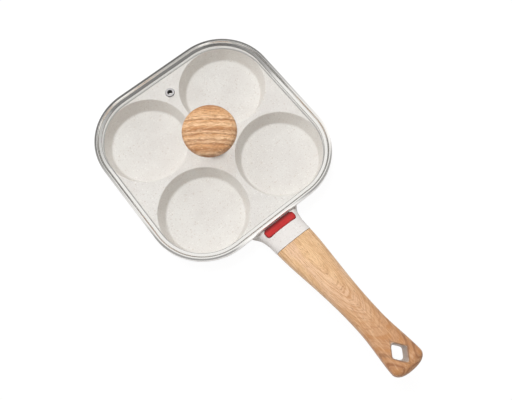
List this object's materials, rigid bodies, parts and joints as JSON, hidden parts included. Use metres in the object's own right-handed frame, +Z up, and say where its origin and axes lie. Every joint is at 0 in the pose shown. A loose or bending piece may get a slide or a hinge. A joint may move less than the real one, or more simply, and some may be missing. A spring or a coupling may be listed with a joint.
{
  "type": "divided pan",
  "caption": "Square cast pan divided into round cups, with an upswept wood-look handle and a flat glass lid with a steel rim and a round knob.",
  "frame": {"origin": "centre of the pan's flat underside, where it stands", "axes": "+X from the pan's centre along the handle, +Z up out of the cups, +Y to the left of the handle"},
  "size_m": [0.3623, 0.195, 0.0726],
  "materials": {
    "coating": "off-white speckled non-stick coating, satin",
    "steel": "polished stainless",
    "glass": "clear tempered",
    "grip_wood_look": "printed wood grain, satin",
    "knob_wood_look": "printed wood grain, satin",
    "red_silicone": "matte",
    "clear_silicone": "matte",
    "brass": "turned"
  },
  "bodies": {
    "pan": {"pan_body": "coating", "tongue_insert": "steel", "handle_bracket": "coating", "bracket_inset": "red_silicone", "handle_grip": "grip_wood_look", "handle_screw": "steel", "handle_washer": "steel"},
    "lid": {"lid_rim": "steel", "lid_glass": "glass", "vent_eyelet": "steel", "knob": "knob_wood_look", "knob_insert": "brass", "knob_collar": "steel", "knob_gasket_top": "clear_silicone", "knob_gasket_under": "clear_silicone", "knob_washer": "steel", "knob_screw": "steel"}
  },
  "joints": [
    {"name": "lid_lift", "type": "slide", "parent": "pan", "child": "lid", "axis": [0, 0, 1], "range_m": [0, 0.06]}
  ]
}
